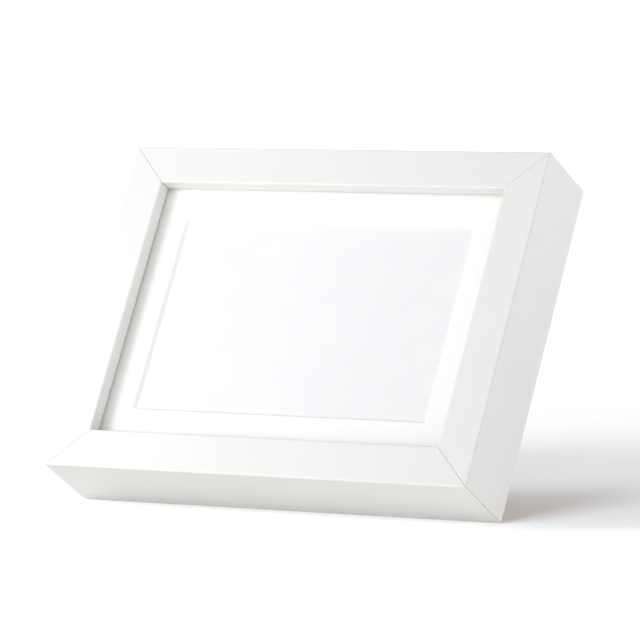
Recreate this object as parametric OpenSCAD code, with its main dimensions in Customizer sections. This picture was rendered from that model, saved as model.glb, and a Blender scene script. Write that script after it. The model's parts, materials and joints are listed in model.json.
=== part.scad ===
// Deep white display frame (shadow box) that leans back on a folding easel leg.
//
// Every module draws its piece on an upright frame: X runs across, Y runs from the front
// face (0) to the back, and Z runs up from the bottom edge. leaned() then tips the whole
// frame back on its lower rear edge, and swung() opens the easel leg about its hinge pin.

/* [Frame moulding] */
// Width of the frame, outside
outer_w = 203; // [195:1:210]
// Height of the frame, outside
outer_h = 154; // [148:1:160]
// Depth of the moulding, front to back
frame_d = 35.5; // [32:0.5:40]
// Width of the face of the moulding
face_w = 17.5; // [16:0.5:19]
// Thickness of the lip that holds the glazing in
lip_t = 6.3; // [5:0.1:7]
// Thickness of the side wall behind the lip
wall_t = 11; // [10:0.5:12]
// Width of the eased front edges
arris = 0.6; // [0.3:0.1:0.9]

/* [Sheets] */
// Play between a sheet and the inside of the box, each side
sheet_play = 0.5; // [0.3:0.1:0.8]
// Thickness of the glazing
glazing_t = 2; // [1.5:0.1:2.5]
// Thickness of the mat board
mat_t = 1.4; // [1:0.1:1.8]
// Width of the mat's window where it meets the card
window_w = 139.5; // [130:0.5:145]
// Height of the mat's window where it meets the card
window_h = 89.5; // [80:0.5:95]
// Thickness of the blank picture card
card_t = 0.5; // [0.3:0.1:0.8]
// Thickness of the spacer strips that make the box space
spacer_t = 4; // [3:0.5:5]
// Thickness of the lining pad on the back board
liner_t = 1; // [0.8:0.1:1.5]
// Thickness of the back board
board_t = 3; // [2.5:0.1:3.5]
// How far the back board lies below the back of the moulding
board_sunk = 0.3; // [0.2:0.1:0.5]

/* [Stand] */
// How far the frame leans back from upright, in degrees
lean = 29.3; // [25:0.1:32]
// How far the leg opens from the back board, in degrees
leg_open = 44; // [42:0.5:48]
// Height of the hinge pin above the bottom edge
pivot_h = 112; // [105:1:115]
// Thickness of the leg
leg_t = 3; // [2.5:0.1:3.5]
// Width of the leg at the hinge
leg_top_w = 34; // [32:1:40]
// Width of the leg at the foot
leg_foot_w = 58; // [50:1:64]

/* [Turn buttons] */
// Distance of each turn button from the middle of the frame
button_x = 60; // [50:1:66]
// Distance of the button's screw from the outer edge
button_inset = 6; // [5.8:0.1:6.2]
// Length of the button between its two round ends
button_reach = 11; // [10:0.5:12]

/* [Hidden] */
$fn = 48;

running = 0.06;                // clearance round a pin or screw that something turns on

// inside of the box and the sheets in it
inside_w = outer_w - 2 * wall_t;
inside_h = outer_h - 2 * wall_t;
sheet_w = inside_w - 2 * sheet_play;
sheet_h = inside_h - 2 * sheet_play;
mid_h = outer_h / 2;

// how far back each layer starts
glazing_y = lip_t;
mat_y = glazing_y + glazing_t;
card_y = mat_y + mat_t;
spacer_y = card_y + card_t;
board_back = frame_d - board_sunk;
board_y = board_back - board_t;
liner_y = board_y - liner_t;

// corner nails
nail_leg = 6;
nail_t = 0.6;
nail_depth = 10;
nail_apex = wall_t / 2 - 1.6;  // how far the bend of a nail lies from both outer edges

// turn buttons and their screws
button_t = 1;
button_lift = 0.1;
boss_r = 4;
tip_r = 3;
screw_r = 1.4;
screw_len = 9;
head_r = 3;
head_h = 1.7;
recess_w = 0.8;
recess_len = 3.2;
recess_d = 0.9;

// sawtooth hangers
hanger_len = 44;
hanger_h = 8;
hanger_t = 0.8;
hanger_rise = 1.6;
hanger_tab = 7;
hanger_nail_r = 0.6;
hanger_nail_len = 7;
hanger_nail_head_r = 1.6;
hanger_nail_head_h = 0.5;
tooth_pitch = 2;
tooth_count = 11;
tooth_w = 1.8;
tooth_depth = 1.5;

// bumpers
bumper_r = 4;
bumper_h = 3;
bumper_taper = 0.8;
bumper_x = outer_w / 2 - 14;

// hinge
plate_t = 0.8;
pin_r = 0.84;
bore_r = pin_r + running;
knuckle_r = bore_r + plate_t;
pivot_y = board_back + knuckle_r + 0.3;
pin_head_r = 1.4;
pin_head_t = 0.6;
mid_knuckle = 4.6;             // half the length of the leg's knuckle
side_gap = 0.2;
side_knuckle = 8;              // length of each knuckle on the base plate
strap_h = 3;                   // from the pin to where a plate reaches its full width
strap_lap = 1;
base_w = 28;
base_h = 18;
base_rivet_x = 10;
base_rivet_rows = [6, 14];     // heights of the rivets above the pin
leg_plate_w = 24;
leg_plate_h = 16;
leg_rivet_x = 8;
leg_rivet_rows = [6, 12.5];    // distances of the rivets below the pin
foot_spare = 8;                // length cut off the leg where it meets the floor
rivet_r = 1.2;
rivet_head_r = 2.2;
rivet_head_t = 0.6;
clinch_t = 0.5;                // thickness of a rivet's flattened end
leg_plate_y = pivot_y - 1.1;   // front face of the leg's plate when the leg is folded
leg_y = leg_plate_y + plate_t; // front face of the leg when it is folded
leg_top = pivot_h - 2.3;

// ribbon stay
ribbon_w = 10;
ribbon_t = 0.4;
ribbon_tab = 9;
ribbon_board_z = pivot_h - 70; // where the ribbon leaves the board
ribbon_leg_r = 62;             // where it meets the leg, measured from the pin
ribbon_gap = 0.1;
staple_w = 7;
staple_t = 0.5;
staple_gap = 0.05;
staple_below = ribbon_tab / 2 + 1;

// where the leaned frame stands, with the origin under the middle of its footprint
swing = leg_open - lean;       // the open leg's angle from upright
pin_row_y = (pivot_y - frame_d) * cos(lean) + pivot_h * sin(lean);
pin_row_z = -(pivot_y - frame_d) * sin(lean) + pivot_h * cos(lean);
foot_back = pin_row_y + pin_row_z * tan(swing) + (leg_y + leg_t - pivot_y) / cos(swing);
face_front = -frame_d * cos(lean) + arris * sin(lean);
edge_y = -(face_front + foot_back) / 2;

// ---------- placing ----------

// tips an upright piece back on the frame's lower rear edge
module leaned() {
    translate([0, edge_y, 0]) rotate([-lean, 0, 0]) translate([0, -frame_d, 0]) children();
}

// swings a piece of the folded leg out to where it stands
module swung() {
    leaned() translate([0, pivot_y, pivot_h]) rotate([leg_open, 0, 0])
        translate([0, -pivot_y, -pivot_h]) children();
}

// repeats a piece at the left and the right
module both_sides() {
    children();
    mirror([1, 0, 0]) children();
}

// a round bar along Y from y to y + length
module bar_y(r, length, y = 0) {
    translate([0, y + length, 0]) rotate([90, 0, 0]) cylinder(r = r, h = length);
}

// extrudes an outline in X and Z back along Y, from y to y + length
module slab_y(length, y = 0) {
    translate([0, y + length, 0]) rotate([90, 0, 0]) linear_extrude(length) children();
}

// extrudes an outline in Y and Z across X, about the middle
module across_x(width) {
    rotate([90, 0, 90]) linear_extrude(width, center = true) children();
}

// ---------- frame moulding ----------

// cross-section of the bottom rail: lip at the front, wall behind it
module moulding_outline() {
    polygon([
        [arris, 0], [0, arris], [0, face_w - arris], [arris, face_w],
        [lip_t, face_w], [lip_t, wall_t], [frame_d, wall_t], [frame_d, 0]
    ]);
}

// a rail lying along the bottom, mitred at 45 degrees at both ends
module mitred_rail(length) {
    intersection() {
        across_x(length) moulding_outline();
        slab_y(frame_d) polygon([
            [-length / 2, 0], [length / 2, 0],
            [length / 2 - face_w, face_w], [-length / 2 + face_w, face_w]
        ]);
    }
}

// one v-shaped nail across the mitre of the lower left corner, driven in from the back
module v_nail() {
    slab_y(nail_depth, frame_d - nail_depth)
        translate([nail_apex - outer_w / 2, nail_apex]) for (turn = [0, 90]) rotate(turn)
            translate([-nail_t / 2, -nail_t / 2]) square([nail_leg, nail_t]);
}

module four_corners() {
    both_sides() {
        children();
        translate([0, 0, outer_h]) mirror([0, 0, 1]) children();
    }
}

module corner_v_nails() {
    color("silver") leaned() four_corners() v_nail();
}

// holes for the turn buttons' screws
module screw_holes() {
    for (at = button_places()) translate([at[0], 0, at[1]])
        bar_y(screw_r, screw_len + 1, frame_d - screw_len);
}

module bottom_rail() {
    color("white") leaned() difference() {
        mitred_rail(outer_w);
        four_corners() v_nail();
        screw_holes();
    }
}

module top_rail() {
    color("white") leaned() difference() {
        translate([0, 0, outer_h]) mirror([0, 0, 1]) mitred_rail(outer_w);
        four_corners() v_nail();
        screw_holes();
        hanger_holes();
    }
}

module left_rail() {
    color("white") leaned() difference() {
        translate([-outer_w / 2, 0, mid_h]) rotate([0, 90, 0]) mitred_rail(outer_h);
        four_corners() v_nail();
    }
}

module right_rail() {
    color("white") leaned() difference() {
        translate([outer_w / 2, 0, mid_h]) rotate([0, -90, 0]) mitred_rail(outer_h);
        four_corners() v_nail();
        hanger_holes();
    }
}

// ---------- sheets and spacers ----------

// a full sheet that fills the inside of the box
module sheet(thick, y) {
    translate([-sheet_w / 2, y, mid_h - sheet_h / 2]) cube([sheet_w, thick, sheet_h]);
}

module glazing() {
    color("lightcyan", 0.3) leaned() sheet(glazing_t, glazing_y);
}

// the window's walls slope at 45 degrees, wider at the front
module mat_board() {
    half_w = window_w / 2;
    half_h = window_h / 2;
    front_w = half_w + mat_t;
    front_h = half_h + mat_t;
    color("ivory") leaned() difference() {
        sheet(mat_t, mat_y);
        intersection() {
            translate([0, 0, mid_h]) rotate([90, 0, 0]) translate([0, 0, -card_y])
                linear_extrude(mat_t) square([2 * front_w, 2 * front_h], center = true);
            translate([0, 0, mid_h]) rotate([90, 0, 90]) linear_extrude(2 * front_w, center = true)
                polygon([[mat_y, -front_h], [card_y, -half_h], [card_y, half_h], [mat_y, front_h]]);
            translate([0, 0, mid_h - front_h]) linear_extrude(2 * front_h)
                polygon([[-front_w, mat_y], [-half_w, card_y], [half_w, card_y], [front_w, mat_y]]);
        }
    }
}

module picture_card() {
    color("whitesmoke") leaned() sheet(card_t, card_y);
}

module flat_spacer() {
    translate([-sheet_w / 2, spacer_y, mid_h - sheet_h / 2])
        cube([sheet_w, liner_y - spacer_y, spacer_t]);
}

module upright_spacer() {
    translate([-sheet_w / 2, spacer_y, mid_h - sheet_h / 2 + spacer_t])
        cube([spacer_t, liner_y - spacer_y, sheet_h - 2 * spacer_t]);
}

module bottom_spacer() {
    color("snow") leaned() flat_spacer();
}

module top_spacer() {
    color("snow") leaned() translate([0, 0, outer_h]) mirror([0, 0, 1]) flat_spacer();
}

module left_spacer() {
    color("snow") leaned() upright_spacer();
}

module right_spacer() {
    color("snow") leaned() mirror([1, 0, 0]) upright_spacer();
}

module liner_pad() {
    color("linen") leaned() sheet(liner_t, liner_y);
}

module back_board() {
    color("burlywood") leaned() difference() {
        sheet(board_t, board_y);
        base_rivet_holes(board_t + 2, board_y - 1);
    }
}

// ---------- turn buttons ----------

function button_places() = [
    for (z = [button_inset, outer_h - button_inset], side = [-1, 1]) [side * button_x, z]
];

// a turn button on the bottom rail, its tongue pointing up over the back board
module turn_button() {
    slab_y(button_t, frame_d + button_lift) difference() {
        union() {
            circle(boss_r);
            polygon([[-boss_r, 0], [boss_r, 0], [tip_r, button_reach], [-tip_r, button_reach]]);
            translate([0, button_reach]) circle(tip_r);
        }
        circle(screw_r + running);
    }
}

module button_at(side, top) {
    color("gainsboro") leaned()
        translate([side * button_x, 0, top ? outer_h - button_inset : button_inset])
            mirror([0, 0, top ? 1 : 0]) turn_button();
}

module turn_button_top_left() { button_at(-1, true); }
module turn_button_top_right() { button_at(1, true); }
module turn_button_bottom_left() { button_at(-1, false); }
module turn_button_bottom_right() { button_at(1, false); }

// a pan-head screw with a cross recess, its point inside the rail
module pan_screw() {
    head_y = frame_d + 2 * button_lift + button_t;
    difference() {
        union() {
            bar_y(screw_r, head_y + head_h / 2 - (frame_d - screw_len), frame_d - screw_len);
            bar_y(head_r, head_h, head_y);
        }
        for (turn = [0, 90]) rotate([0, turn, 0])
            translate([-recess_len / 2, head_y + head_h - recess_d, -recess_w / 2])
                cube([recess_len, recess_d + 1, recess_w]);
    }
}

module turn_button_screws() {
    color("silver") leaned() for (at = button_places()) translate([at[0], 0, at[1]]) pan_screw();
}

// ---------- wall hardware ----------

// a sawtooth strip lying across the top rail, its teeth pointing down
module sawtooth_strip() {
    half = hanger_len / 2;
    flat = half - hanger_tab;
    bend = flat - 2 * hanger_rise;
    low = frame_d;
    high = frame_d + hanger_rise;
    difference() {
        translate([0, 0, -hanger_h / 2]) linear_extrude(hanger_h) polygon([
            [-half, low], [-flat, low], [-bend, high], [bend, high], [flat, low], [half, low],
            [half, low + hanger_t], [flat, low + hanger_t], [bend, high + hanger_t],
            [-bend, high + hanger_t], [-flat, low + hanger_t], [-half, low + hanger_t]
        ]);
        slab_y(3 * hanger_rise, frame_d) for (i = [0 : tooth_count - 1])
            translate([(i - (tooth_count - 1) / 2) * tooth_pitch, -hanger_h / 2])
                polygon([[-tooth_w / 2, -1], [tooth_w / 2, -1], [tooth_w / 2, 0],
                    [0, tooth_depth], [-tooth_w / 2, 0]]);
        both_sides() translate([half - hanger_tab / 2, 0, 0])
            bar_y(hanger_nail_r, 2, frame_d - 0.5);
    }
}

module at_top_hanger() {
    translate([0, 0, outer_h - wall_t / 2]) children();
}

module at_side_hanger() {
    translate([outer_w / 2 - wall_t / 2, 0, mid_h]) rotate([0, 90, 0]) children();
}

module top_hanger() {
    color("gold") leaned() at_top_hanger() sawtooth_strip();
}

module side_hanger() {
    color("gold") leaned() at_side_hanger() sawtooth_strip();
}

module nail_pair() {
    both_sides() translate([(hanger_len - hanger_tab) / 2, 0, 0]) {
        bar_y(hanger_nail_r, hanger_nail_len + hanger_t + hanger_nail_head_h / 2,
            frame_d - hanger_nail_len);
        bar_y(hanger_nail_head_r, hanger_nail_head_h, frame_d + hanger_t);
    }
}

module hanger_nails() {
    color("gold") leaned() {
        at_top_hanger() nail_pair();
        at_side_hanger() nail_pair();
    }
}

module hole_pair() {
    both_sides() translate([(hanger_len - hanger_tab) / 2, 0, 0])
        bar_y(hanger_nail_r, hanger_nail_len + 1, frame_d - hanger_nail_len);
}

module hanger_holes() {
    at_top_hanger() hole_pair();
    at_side_hanger() hole_pair();
}

module wall_bumpers() {
    color("whitesmoke") leaned() both_sides()
        translate([bumper_x, frame_d, wall_t / 2]) rotate([-90, 0, 0])
            cylinder(r1 = bumper_r, r2 = bumper_r - bumper_taper, h = bumper_h);
}

// ---------- hinge and leg ----------

// a tube along X round the hinge pin, from x to x + length
module knuckle(x, length) {
    translate([x, pivot_y, pivot_h]) rotate([90, 0, 90]) cylinder(r = knuckle_r, h = length);
}

module pin_bore(r) {
    translate([-base_w, pivot_y, pivot_h]) rotate([90, 0, 90]) cylinder(r = r, h = 2 * base_w);
}

function base_rivet_places() = [
    for (x = [-base_rivet_x, base_rivet_x], up = base_rivet_rows) [x, pivot_h + up]
];

module base_rivet_holes(length, y) {
    for (at = base_rivet_places()) translate([at[0], 0, at[1]]) bar_y(rivet_r, length, y);
}

module hinge_base_plate() {
    side_start = mid_knuckle + side_gap;
    color("silver") leaned() difference() {
        union() {
            both_sides() {
                knuckle(side_start, side_knuckle);
                translate([side_start, board_back, pivot_h])
                    cube([side_knuckle, plate_t, strap_h + strap_lap]);
            }
            translate([-base_w / 2, board_back, pivot_h + strap_h])
                cube([base_w, plate_t, base_h - strap_h]);
        }
        pin_bore(pin_r);
        base_rivet_holes(3, board_back - 1);
    }
}

module hinge_base_rivets() {
    color("silver") leaned() for (at = base_rivet_places()) translate([at[0], 0, at[1]]) {
        bar_y(rivet_r, board_t + plate_t + rivet_head_t / 2, board_y);
        bar_y(rivet_head_r, rivet_head_t, board_back + plate_t);
    }
}

module hinge_pin() {
    reach = mid_knuckle + side_gap + side_knuckle + side_gap / 2;
    color("silver") leaned() translate([0, pivot_y, pivot_h]) both_sides() rotate([90, 0, 90]) {
        cylinder(r = pin_r, h = reach + pin_head_t / 2);
        translate([0, 0, reach]) cylinder(r = pin_head_r, h = pin_head_t);
    }
}

function leg_rivet_places() = [
    for (x = [-leg_rivet_x, leg_rivet_x], down = leg_rivet_rows) [x, pivot_h - down]
];

module leg_rivet_holes(length, y) {
    for (at = leg_rivet_places()) translate([at[0], 0, at[1]]) bar_y(rivet_r, length, y);
}

// everything above the floor, for trimming the foot where it stands
module above_floor() {
    intersection() {
        children();
        translate([-outer_w, -outer_w, 0]) cube(2 * outer_w);
    }
}

module easel_leg() {
    length = pin_row_z / cos(swing) + foot_spare;
    color("burlywood") above_floor() swung() difference() {
        slab_y(leg_t, leg_y) polygon([
            [-leg_top_w / 2, leg_top], [leg_top_w / 2, leg_top],
            [leg_foot_w / 2, pivot_h - length], [-leg_foot_w / 2, pivot_h - length]
        ]);
        leg_rivet_holes(leg_t + 2, leg_y - 1);
    }
}

module hinge_leg_plate() {
    color("silver") swung() difference() {
        union() {
            knuckle(-mid_knuckle, 2 * mid_knuckle);
            translate([-mid_knuckle, leg_plate_y, pivot_h - strap_h - strap_lap])
                cube([2 * mid_knuckle, plate_t, strap_h]);
            translate([-leg_plate_w / 2, leg_plate_y, pivot_h - leg_plate_h])
                cube([leg_plate_w, plate_t, leg_plate_h - strap_h]);
        }
        pin_bore(bore_r);
        leg_rivet_holes(3, leg_plate_y - 1);
    }
}

module hinge_leg_rivets() {
    color("silver") swung() for (at = leg_rivet_places()) translate([at[0], 0, at[1]]) {
        bar_y(rivet_r, plate_t + leg_t + rivet_head_t / 2, leg_plate_y);
        bar_y(rivet_head_r, clinch_t, leg_plate_y - clinch_t);
        bar_y(rivet_head_r, rivet_head_t, leg_y + leg_t);
    }
}

// ---------- ribbon stay ----------

// a point on the open leg's front face, r below the pin, as [y, z] on the upright frame
function on_leg(r, off) = [
    pivot_y + (leg_y - off - pivot_y) * cos(leg_open) + r * sin(leg_open),
    pivot_h + (leg_y - off - pivot_y) * sin(leg_open) - r * cos(leg_open)
];

// the taut ribbon seen from the side, with a flat tab on the board and one on the leg
module stay_ribbon() {
    near = board_back + ribbon_gap;
    far_in = on_leg(ribbon_leg_r, ribbon_gap);
    far_tab = on_leg(ribbon_leg_r + ribbon_tab, ribbon_gap);
    far_tab_out = on_leg(ribbon_leg_r + ribbon_tab, ribbon_gap + ribbon_t);
    far_out = on_leg(ribbon_leg_r + 1.2 * ribbon_t, ribbon_gap + ribbon_t);
    color("ivory") leaned() across_x(ribbon_w) polygon([
        [near, ribbon_board_z - ribbon_tab],
        [near + ribbon_t, ribbon_board_z - ribbon_tab],
        [near + ribbon_t, ribbon_board_z - ribbon_t],
        far_out, far_tab_out, far_tab, far_in,
        [near, ribbon_board_z]
    ]);
}

// the crown of a staple, standing just clear of what it holds
module staple_crown() {
    translate([-staple_w / 2, 0, -staple_t / 2]) cube([staple_w, staple_t, staple_t]);
}

module board_staple() {
    y = board_back + ribbon_gap + ribbon_t + staple_gap;
    color("silver") leaned() translate([0, y, ribbon_board_z - staple_below]) staple_crown();
}

module leg_staple() {
    y = leg_y - ribbon_gap - ribbon_t - staple_gap - staple_t;
    color("silver") swung() translate([0, y, pivot_h - ribbon_leg_r - staple_below]) staple_crown();
}

top_rail();
bottom_rail();
left_rail();
right_rail();
corner_v_nails();
glazing();
mat_board();
picture_card();
top_spacer();
bottom_spacer();
left_spacer();
right_spacer();
liner_pad();
back_board();
turn_button_top_left();
turn_button_top_right();
turn_button_bottom_left();
turn_button_bottom_right();
turn_button_screws();
top_hanger();
side_hanger();
hanger_nails();
wall_bumpers();
hinge_base_plate();
hinge_base_rivets();
hinge_pin();
easel_leg();
hinge_leg_plate();
hinge_leg_rivets();
stay_ribbon();
board_staple();
leg_staple();
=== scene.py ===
# %% [markdown]
# # A deep white display frame on an easel leg
# This lesson dresses a frame whose parts are already designed. The design gives every part's place
# and size, in metres, and says which body it moves with. Here each part is drawn again with the small
# roundings, textures and finishes that make it look made, and stays exactly where the design has it.

# %% Load the designed frame
import json
import math

import bmesh
import bpy
from mathutils import Matrix, Vector


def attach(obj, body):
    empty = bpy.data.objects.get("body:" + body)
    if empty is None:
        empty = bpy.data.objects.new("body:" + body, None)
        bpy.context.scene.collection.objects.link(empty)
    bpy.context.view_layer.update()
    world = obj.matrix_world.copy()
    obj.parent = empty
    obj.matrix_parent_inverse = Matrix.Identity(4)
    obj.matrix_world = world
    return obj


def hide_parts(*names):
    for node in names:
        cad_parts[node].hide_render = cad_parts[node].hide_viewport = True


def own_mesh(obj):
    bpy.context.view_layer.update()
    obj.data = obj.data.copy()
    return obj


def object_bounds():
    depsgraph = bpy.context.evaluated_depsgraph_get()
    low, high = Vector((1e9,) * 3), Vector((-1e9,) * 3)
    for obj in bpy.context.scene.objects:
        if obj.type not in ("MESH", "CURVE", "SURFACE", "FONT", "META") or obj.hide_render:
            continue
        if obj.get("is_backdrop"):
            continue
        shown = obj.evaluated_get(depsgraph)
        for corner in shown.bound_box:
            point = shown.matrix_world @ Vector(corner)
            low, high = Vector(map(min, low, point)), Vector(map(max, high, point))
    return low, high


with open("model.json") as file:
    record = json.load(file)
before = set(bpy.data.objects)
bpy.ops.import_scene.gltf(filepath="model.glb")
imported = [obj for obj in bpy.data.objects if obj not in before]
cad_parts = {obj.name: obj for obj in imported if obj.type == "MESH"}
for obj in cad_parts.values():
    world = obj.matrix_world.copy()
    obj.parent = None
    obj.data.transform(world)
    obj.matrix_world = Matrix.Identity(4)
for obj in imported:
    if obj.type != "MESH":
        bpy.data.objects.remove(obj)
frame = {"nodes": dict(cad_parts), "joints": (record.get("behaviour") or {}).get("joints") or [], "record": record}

MM = 0.001
design_low, design_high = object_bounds()

# %% [markdown]
# ## Camera
# A frame on a table is shown from a little to its right and from just above the table. A long lens
# from two metres away keeps its edges nearly parallel.

# %% Camera
CAMERA_TURN = math.radians(29.69)
CAMERA_DIP = math.radians(3.52)
CAMERA_AWAY = 1.944
CAMERA_LENS_MM = 256.8
AIM = Vector((0.0004, 0.0003, 0.0791))


def linked(name, data):
    """A new object, in the scene."""
    thing = bpy.data.objects.new(name, data)
    bpy.context.scene.collection.objects.link(thing)
    return thing


look = Vector((
    -math.sin(CAMERA_TURN) * math.cos(CAMERA_DIP),
    math.cos(CAMERA_TURN) * math.cos(CAMERA_DIP),
    -math.sin(CAMERA_DIP),
))
camera = linked("camera", bpy.data.cameras.new("camera"))
camera.data.lens = CAMERA_LENS_MM
camera.location = AIM - look * CAMERA_AWAY
camera.rotation_mode = "QUATERNION"
camera.rotation_quaternion = look.to_track_quat("-Z", "Y")
bpy.context.scene.camera = camera
print("camera at", [round(v, 3) for v in camera.location])

# %% [markdown]
# ## Two work benches
# The frame leans back, and its leg is swung out. Drawing on a slope is awkward, so every piece is
# drawn on an upright frame, in millimetres: X runs across, Y from the front face to the back, Z up
# from the bottom edge. Two matrices then carry a piece to its place. STAND tips it back with the
# frame, and LEG also swings it out about the hinge pin. Both are worked out from the design's own
# joints and faces, so nothing is placed by eye.

# %% Matrices from the upright bench to the standing frame
mounts = {mount["name"]: mount for mount in frame["record"]["mounts"]}
joints = {joint["name"]: joint for joint in frame["joints"]}

downward = Vector(mounts["bottom_face"]["axis"])
LEAN = math.atan2(-downward.y, -downward.z)
corners = [vertex.co for vertex in frame["nodes"]["bottom_rail"].data.vertices]
resting_edge = min(corners, key=lambda corner: corner.z)
tipped = Matrix.Translation((0, resting_edge.y, 0)) @ Matrix.Rotation(-LEAN, 4, "X")
DEPTH = -min((tipped.inverted() @ corner).y for corner in corners) / MM
STAND = tipped @ Matrix.Translation((0, -DEPTH * MM, 0)) @ Matrix.Scale(MM, 4)

PIN = STAND.inverted() @ Vector(joints["easel_fold"]["pos_m"])
LEG_OPEN = math.radians(joints["easel_fold"]["range_deg"][1])
LEG = (STAND @ Matrix.Translation(PIN) @ Matrix.Rotation(LEG_OPEN, 4, "X")
       @ Matrix.Translation(-PIN))


def drawn(node, place=STAND):
    """Lowest and highest corner of a designed part on its bench, in millimetres."""
    points = [place.inverted() @ vertex.co for vertex in frame["nodes"][node].data.vertices]
    low = Vector([min(point[axis] for point in points) for axis in range(3)])
    high = Vector([max(point[axis] for point in points) for axis in range(3)])
    return low, high


rail_low, rail_high = drawn("bottom_rail")
WIDE = rail_high.x - rail_low.x
HIGH = drawn("top_rail")[1].z
FACE = rail_high.z
sheet_low = drawn("glazing")[0]
LIP = sheet_low.y
PLAY = 0.5
WALL = sheet_low.z - PLAY
print(f"leans {math.degrees(LEAN):.1f} deg, {WIDE:.1f} x {HIGH:.1f} x {DEPTH:.1f} mm,"
      f" face {FACE:.1f}, lip {LIP:.1f}, wall {WALL:.1f}")

# %% [markdown]
# ## Helpers for colour and nodes
# Colours are written as the sRGB hex values that a paint chart would give, and one function turns
# them into the linear light that a renderer works in. Another adds one node to a shader tree or a
# geometry tree, with its settings and links, so a tree reads as a list of steps.

# %% Colour and node helpers
def srgb(code):
    """An sRGB hex colour as linear red, green, blue and alpha."""
    shares = [int(code[i:i + 2], 16) / 255 for i in (1, 3, 5)]
    return [s / 12.92 if s <= 0.04045 else ((s + 0.055) / 1.055) ** 2.4 for s in shares] + [1.0]


def per(size_mm):
    """The scale that gives a pattern features of this size, on coordinates in metres."""
    return 1 / (size_mm * MM)


def add(tree, kind, inputs=None, **settings):
    """Adds a node, sets it up, and links or sets its inputs, named by label or by number."""
    node = tree.nodes.new(kind)
    for key, value in settings.items():
        setattr(node, key, value)
    for key, value in (inputs or {}).items():
        if isinstance(value, bpy.types.NodeSocket):
            tree.links.new(value, node.inputs[key])
        else:
            node.inputs[key].default_value = value
    return node


def new_tree(name, result, inputs):
    """A geometry tree with one output and with inputs given as (label, kind), and those inputs."""
    tree = bpy.data.node_groups.new(name, "GeometryNodeTree")
    tree.interface.new_socket(result, in_out="OUTPUT", socket_type="NodeSocketGeometry")
    for label, kind in inputs:
        tree.interface.new_socket(label, in_out="INPUT", socket_type="NodeSocket" + kind)
    return tree, add(tree, "NodeGroupInput").outputs


def finish(name, sockets):
    """A new material, with values set on its shader's own sockets."""
    material = bpy.data.materials.new(name)
    material.use_nodes = True
    shader = material.node_tree.nodes["Principled BSDF"]
    for label, value in sockets.items():
        shader.inputs[label].default_value = value
    spot = add(material.node_tree, "ShaderNodeTexCoord").outputs["Object"]
    return material, material.node_tree, shader, spot


def wear_in(tree, shader, colour=None, rough=None, height=None, deep=0.0):
    """Links patterns into a shader: colour, roughness, and a height of so many metres as bump."""
    if colour:
        tree.links.new(colour, shader.inputs["Base Color"])
    if rough:
        tree.links.new(rough, shader.inputs["Roughness"])
    if height:
        bump = add(tree, "ShaderNodeBump", {"Height": height, "Distance": deep, "Strength": 1.0})
        tree.links.new(bump.outputs["Normal"], shader.inputs["Normal"])


# %% [markdown]
# ## Helpers for shapes
# Most pieces start as one of three solids: a slab cut to an outline, an outline spun about an axis,
# or a strip bent along a path. Two more helpers give arcs and rounded rectangles as lists of points,
# to draw the outlines with.

# %% Shape helpers
def mesh_from(bm):
    """Closes a bmesh into a plain mesh whose faces point outwards."""
    bmesh.ops.remove_doubles(bm, verts=bm.verts, dist=1e-5)
    bmesh.ops.recalc_face_normals(bm, faces=bm.faces)
    mesh = bpy.data.meshes.new("shape")
    bm.to_mesh(mesh)
    bm.free()
    return mesh


def pulled(corners, away):
    """A flat face with these corners, pulled out into a solid."""
    bm = bmesh.new()
    face = bm.faces.new([bm.verts.new(corner) for corner in corners])
    made = bmesh.ops.extrude_face_region(bm, geom=[face])["geom"]
    far_end = [item for item in made if isinstance(item, bmesh.types.BMVert)]
    bmesh.ops.translate(bm, vec=away, verts=far_end)
    return mesh_from(bm)


def slab(outline, front, thick):
    """An outline of (x, z) points, as a slab from front to front + thick."""
    return pulled([(x, front, z) for x, z in outline], (0, thick, 0))


def spun(outline, steps=32):
    """An outline of (radius, y) points spun round the Y axis."""
    bm = bmesh.new()
    rings = []
    for radius, y in outline:
        turns = [2 * math.pi * i / steps for i in range(steps)] if radius else [0.0]
        rings.append([bm.verts.new((radius * math.cos(a), y, radius * math.sin(a)))
                      for a in turns])
    for near, far in zip(rings, rings[1:]):
        for i in range(steps):
            quad = [near[i % len(near)], near[(i + 1) % len(near)],
                    far[(i + 1) % len(far)], far[i % len(far)]]
            bm.faces.new(list(dict.fromkeys(quad)))
    return mesh_from(bm)


def bent_strip(path, thick, left, right):
    """A strip bent along a path of (y, z) points, reaching across from left to right."""
    sides = {1: [], -1: []}
    for i, point in enumerate(path):
        before, after = Vector(path[max(i - 1, 0)]), Vector(path[min(i + 1, len(path) - 1)])
        along = (after - before).normalized()
        for side in sides:
            sides[side].append(Vector(point) + side * thick / 2 * Vector((-along.y, along.x)))
    outline = sides[1] + sides[-1][::-1]
    return pulled([(left, y, z) for y, z in outline], (right - left, 0, 0))


def arc(centre, radius, start, end, steps=8):
    """Points on an arc, from one angle to another, in degrees."""
    angles = [math.radians(start + (end - start) * i / steps) for i in range(steps + 1)]
    return [(centre[0] + radius * math.cos(a), centre[1] + radius * math.sin(a)) for a in angles]


def rounded(low, high, radius):
    """The outline of a rectangle with rounded corners."""
    (x0, z0), (x1, z1) = low, high
    r = radius
    return (arc((x1 - r, z0 + r), r, -90, 0) + arc((x1 - r, z1 - r), r, 0, 90)
            + arc((x0 + r, z1 - r), r, 90, 180) + arc((x0 + r, z0 + r), r, 180, 270))


# %% [markdown]
# ## Helpers for working a mesh
# Modifiers do the work of a file, a saw and a drill. Each is run on a bench object and baked straight
# away, so that a plain mesh is left. A sharp edge catches no light, so nearly every piece gets its
# edges eased at the end. The mesh is shaded smooth before that, because the bevel then writes normals
# that keep the flat faces flat.

# %% Mesh helpers
CLEAN_ANGLE = math.radians(0.5)
CLEAN_GAP = 0.005


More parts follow.
